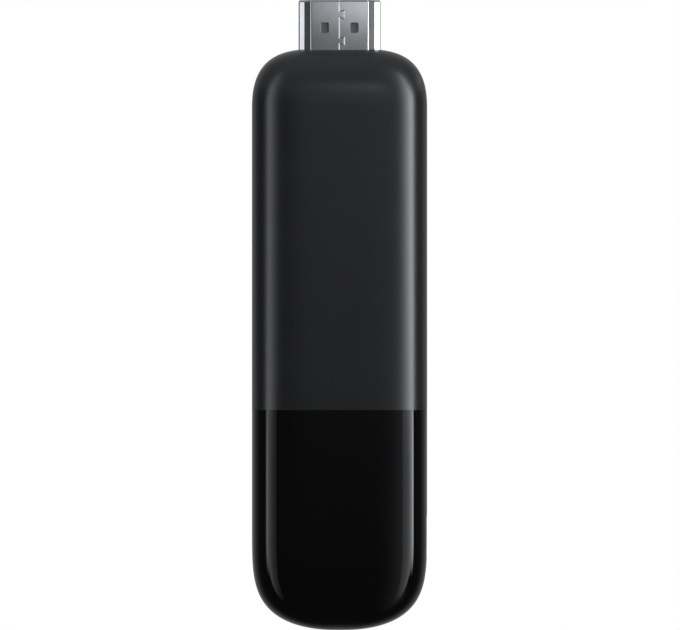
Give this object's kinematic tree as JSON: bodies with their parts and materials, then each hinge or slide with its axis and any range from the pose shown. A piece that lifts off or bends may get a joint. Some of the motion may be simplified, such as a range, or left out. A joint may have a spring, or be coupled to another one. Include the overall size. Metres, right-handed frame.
{
  "type": "streaming media player",
  "caption": "Slim black streaming stick with rounded ends, a metal HDMI plug at the top, a gloss lower front and a small side power port.",
  "frame": {"origin": "middle of the HDMI plug's section, on the plane of the body's top end where the plug leaves the covers", "axes": "+Z out through the plug, the front cover faces -Y, the power port is on the +X side"},
  "size_m": [0.0296, 0.0154, 0.1068],
  "materials": {
    "matte_cover": "fine matte texture, black",
    "gloss_cover": "polished piano black",
    "plated_steel": "bright plated folded sheet",
    "black_insulator": "black moulded insulator",
    "gold_contact": "gold plated copper alloy",
    "board": "dark board lacquer",
    "chip": "moulded chip package",
    "ferrite": "moulded ferrite",
    "shield_sheet": "tinned sheet",
    "heat_pad": "soft grey heat pad",
    "heat_sink": "milled aluminium",
    "screw_steel": "zinc plated"
  },
  "bodies": {
    "root": {"front_cover": "matte_cover", "front_gloss_cover": "gloss_cover", "rear_cover": "matte_cover", "hdmi_shell": "plated_steel", "hdmi_insulator": "black_insulator", "main_board": "board", "processor_chip": "chip", "memory_chip_1": "chip", "memory_chip_2": "chip", "storage_chip": "chip", "radio_chip": "chip", "power_chip": "chip", "clock_crystal": "shield_sheet", "power_coil_1": "ferrite", "power_coil_2": "ferrite", "power_coil_3": "ferrite", "front_shield_can": "shield_sheet", "rear_shield_can": "shield_sheet", "processor_heat_pad": "heat_pad", "radio_heat_pad": "heat_pad", "front_heat_pad": "heat_pad", "rear_heat_pad": "heat_pad", "front_heat_sink": "heat_sink", "rear_heat_sink": "heat_sink", "upper_board_screw": "screw_steel", "lower_board_screw": "screw_steel", "wifi_antenna": "shield_sheet", "bluetooth_antenna": "shield_sheet", "usb_shell": "plated_steel", "usb_insulator": "black_insulator", "hdmi_contact_01": "gold_contact", "hdmi_contact_02": "gold_contact", "hdmi_contact_03": "gold_contact", "hdmi_contact_04": "gold_contact", "hdmi_contact_05": "gold_contact", "hdmi_contact_06": "gold_contact", "hdmi_contact_07": "gold_contact", "hdmi_contact_08": "gold_contact", "hdmi_contact_09": "gold_contact", "hdmi_contact_10": "gold_contact", "hdmi_contact_11": "gold_contact", "hdmi_contact_12": "gold_contact", "hdmi_contact_13": "gold_contact", "hdmi_contact_14": "gold_contact", "hdmi_contact_15": "gold_contact", "hdmi_contact_16": "gold_contact", "hdmi_contact_17": "gold_contact", "hdmi_contact_18": "gold_contact", "hdmi_contact_19": "gold_contact", "usb_contact_1": "gold_contact", "usb_contact_2": "gold_contact", "usb_contact_3": "gold_contact", "usb_contact_4": "gold_contact", "usb_contact_5": "gold_contact"}
  },
  "joints": []
}
